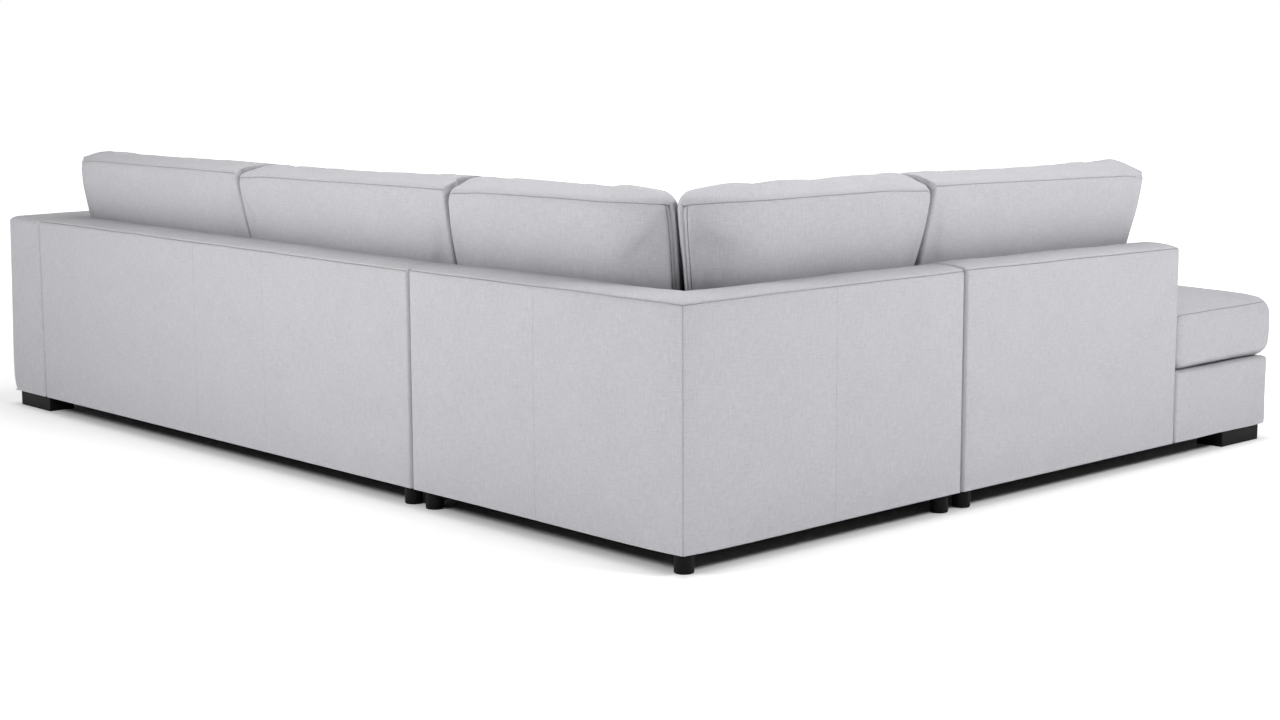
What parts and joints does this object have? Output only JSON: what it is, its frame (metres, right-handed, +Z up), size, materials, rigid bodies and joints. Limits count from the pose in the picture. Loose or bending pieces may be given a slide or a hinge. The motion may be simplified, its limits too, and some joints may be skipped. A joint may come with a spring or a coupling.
{
  "type": "corner sofa",
  "caption": "Corner sofa in upholstered modules, with an arm, a corner and an open-ended chaise, and loose back cushions leaning over low back walls.",
  "frame": {"origin": "middle of the footprint on the floor: the centre of the bounding box's bottom face, under the feet", "axes": "+Z up; +X along the long wing from the outer corner to the arm; the long wing's back is on the +Y side and its seats face -Y; the short wing with the chaise runs along -Y on the -X side, its back on the -X side"},
  "size_m": [3.38, 2.59, 0.8959],
  "materials": {
    "cover_fabric": "pale cool grey woven upholstery cloth, matt",
    "cushion_fabric": "pale cool grey woven upholstery cloth, matt",
    "foam": "cream polyether foam with wadding",
    "timber": "planed pine, unfinished",
    "hardboard": "brown hardboard",
    "webbing": "black elastic webbing",
    "underlining": "black spun-bonded cloth",
    "steel": "zinc-plated steel",
    "foot_black": "black moulded, satin"
  },
  "bodies": {
    "sofa": {"long_base_frame": "timber", "long_seat_springs": "steel", "long_spring_clips": "steel", "long_base_padding": "foam", "long_base_cover": "cover_fabric", "long_back_frame": "timber", "long_back_lining": "hardboard", "long_back_webbing": "webbing", "long_back_padding": "foam", "long_back_cover": "cover_fabric", "long_dust_cover": "underlining", "arm_frame": "timber", "arm_lining": "hardboard", "arm_padding": "foam", "arm_cover": "cover_fabric", "corner_base_frame": "timber", "corner_seat_springs": "steel", "corner_spring_clips": "steel", "corner_base_padding": "foam", "corner_base_cover": "cover_fabric", "corner_back_frame": "timber", "corner_back_lining": "hardboard", "corner_back_webbing": "webbing", "corner_back_padding": "foam", "corner_cover_long": "cover_fabric", "corner_cover_short": "cover_fabric", "corner_dust_cover": "underlining", "chaise_base_frame": "timber", "chaise_seat_springs": "steel", "chaise_spring_clips": "steel", "chaise_base_padding": "foam", "chaise_base_cover": "cover_fabric", "chaise_back_frame": "timber", "chaise_back_lining": "hardboard", "chaise_back_webbing": "webbing", "chaise_back_padding": "foam", "chaise_back_cover": "cover_fabric", "chaise_dust_cover": "underlining", "seat_cushion_arm": "cushion_fabric", "seat_cushion_middle": "cushion_fabric", "seat_cushion_corner": "cushion_fabric", "seat_cushion_chaise": "cushion_fabric", "arm_block_feet": "foot_black", "long_round_feet": "foot_black", "corner_round_feet": "foot_black", "chaise_round_feet": "foot_black", "chaise_block_feet": "foot_black", "foot_bolts": "steel", "frame_bolts": "steel", "bracket_tongues": "steel", "bracket_bridges": "steel", "bracket_screws": "steel"},
    "back_cushion_1": {"back_cushion_1": "cushion_fabric"},
    "back_cushion_2": {"back_cushion_2": "cushion_fabric"},
    "back_cushion_3": {"back_cushion_3": "cushion_fabric"},
    "back_cushion_4": {"back_cushion_4": "cushion_fabric"},
    "back_cushion_5": {"back_cushion_5": "cushion_fabric"}
  },
  "joints": [
    {"name": "back_cushion_1_lift", "type": "slide", "parent": "sofa", "child": "back_cushion_1", "axis": [0, 0, 1], "range_m": [0, 0.26]},
    {"name": "back_cushion_2_lift", "type": "slide", "parent": "sofa", "child": "back_cushion_2", "axis": [0, 0, 1], "range_m": [0, 0.26]},
    {"name": "back_cushion_3_lift", "type": "slide", "parent": "sofa", "child": "back_cushion_3", "axis": [0, 0, 1], "range_m": [0, 0.26]},
    {"name": "back_cushion_4_lift", "type": "slide", "parent": "sofa", "child": "back_cushion_4", "axis": [0, 0, 1], "range_m": [0, 0.26]},
    {"name": "back_cushion_5_lift", "type": "slide", "parent": "sofa", "child": "back_cushion_5", "axis": [0, 0, 1], "range_m": [0, 0.26]}
  ]
}
